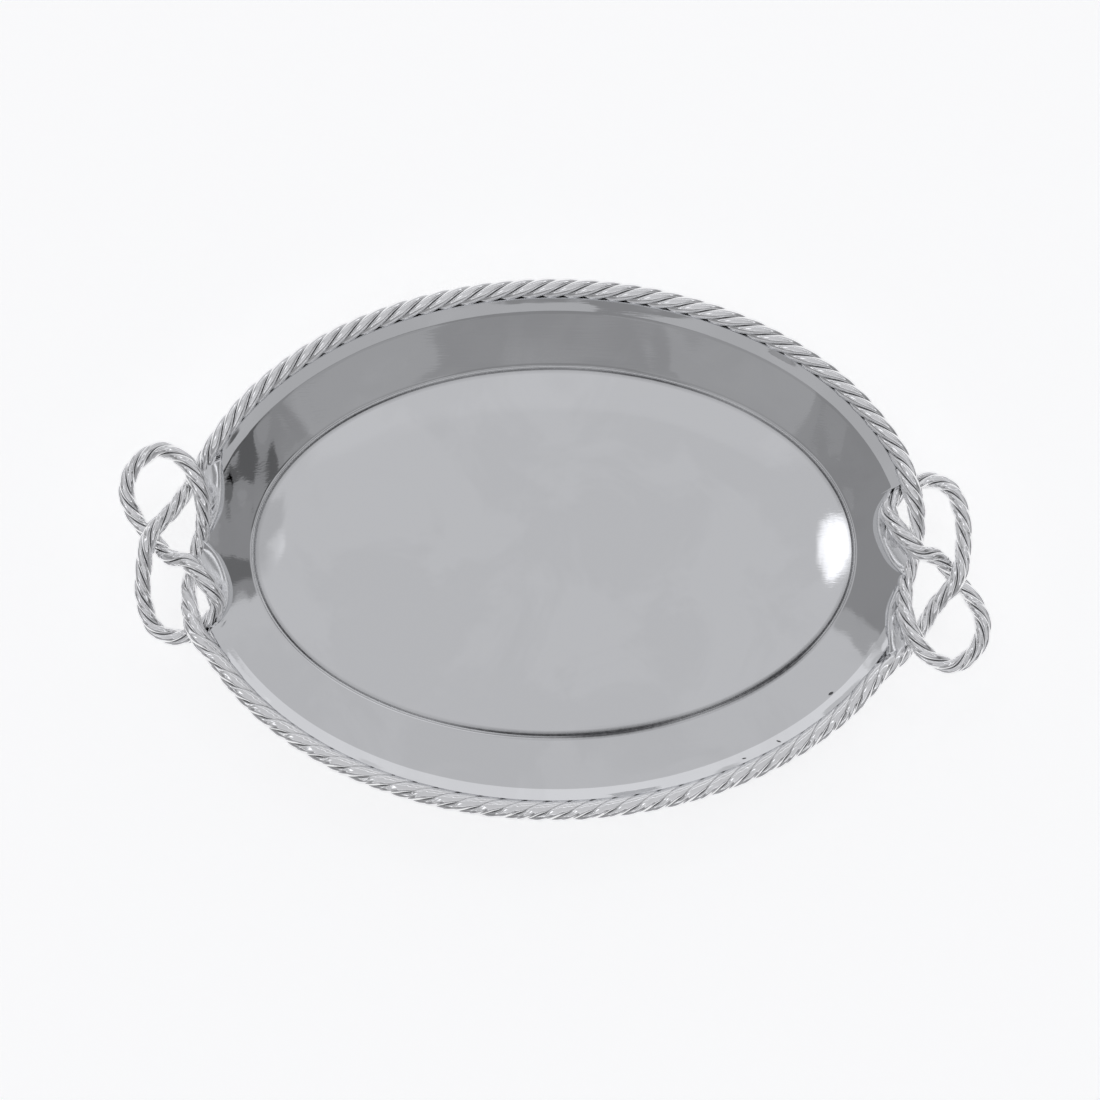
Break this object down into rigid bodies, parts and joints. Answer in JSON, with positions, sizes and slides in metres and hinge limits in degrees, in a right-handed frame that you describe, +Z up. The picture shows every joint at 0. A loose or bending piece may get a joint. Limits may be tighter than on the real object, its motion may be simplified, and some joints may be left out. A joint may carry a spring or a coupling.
{
  "type": "serving tray",
  "caption": "Oval metal serving tray with a shallow well, a wide sloping flange, a twisted rope rim and a figure-eight rope knot at each end as a handle.",
  "frame": {"origin": "on the table under the middle of the tray: centre of the underside of the bounding box", "axes": "+X runs from the left handle to the right handle, +Z up out of the dish, so the front long side faces -Y"},
  "size_m": [0.5584, 0.3469, 0.0427],
  "materials": {
    "dish_aluminium": "hand-polished bright, slightly wavy sand casting",
    "rope_aluminium": "polished on the crowns, duller and darker between the strands",
    "pad_aluminium": "hand-polished bright"
  },
  "bodies": {
    "root": {"dish": "dish_aluminium", "left_knot_strand_a": "rope_aluminium", "left_knot_strand_b": "rope_aluminium", "left_knot_strand_c": "rope_aluminium", "left_knot_strand_d": "rope_aluminium", "front_rim_strand_a": "rope_aluminium", "front_rim_strand_b": "rope_aluminium", "front_rim_strand_c": "rope_aluminium", "front_rim_strand_d": "rope_aluminium", "right_knot_strand_a": "rope_aluminium", "right_knot_strand_b": "rope_aluminium", "right_knot_strand_c": "rope_aluminium", "right_knot_strand_d": "rope_aluminium", "rear_rim_strand_a": "rope_aluminium", "rear_rim_strand_b": "rope_aluminium", "rear_rim_strand_c": "rope_aluminium", "rear_rim_strand_d": "rope_aluminium", "left_rear_pad": "pad_aluminium", "left_front_pad": "pad_aluminium", "right_front_pad": "pad_aluminium", "right_rear_pad": "pad_aluminium"}
  },
  "joints": []
}
